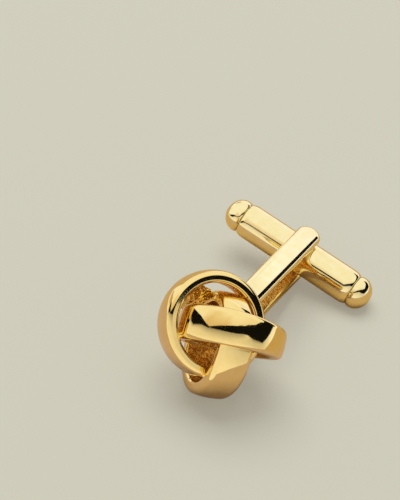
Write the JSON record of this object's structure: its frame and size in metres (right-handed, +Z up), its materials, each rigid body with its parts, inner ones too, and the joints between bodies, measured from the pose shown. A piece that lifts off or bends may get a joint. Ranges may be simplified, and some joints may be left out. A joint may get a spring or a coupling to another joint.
{
  "type": "knot cufflink",
  "caption": "Knot cufflink: interlinked round hoops soldered into an open knot, on a stirrup post with a swivelling torpedo toggle.",
  "frame": {"origin": "centre of the bounding box at the level of the surface the cufflink lies on", "axes": "+Z up; the post runs along Y, with the knot at the -Y end and the toggle at the +Y end; the toggle lies along X"},
  "size_m": [0.0192, 0.029, 0.0134],
  "materials": {
    "gold_polished": "gold plate over brass, polished to a mirror",
    "pin_metal": "drawn wire, plain"
  },
  "bodies": {
    "head": {"knot_and_post": "gold_polished", "pivot_pin": "pin_metal"},
    "toggle": {"toggle_barrel": "gold_polished", "end_cap_left": "gold_polished", "end_cap_right": "gold_polished"}
  },
  "joints": [
    {"name": "toggle_swivel", "type": "hinge", "parent": "head", "child": "toggle", "pos_m": [0, 0.01222, 0.00356], "axis": [0.2093, 0.171, 0.9628], "range_deg": [-90, 90]}
  ]
}
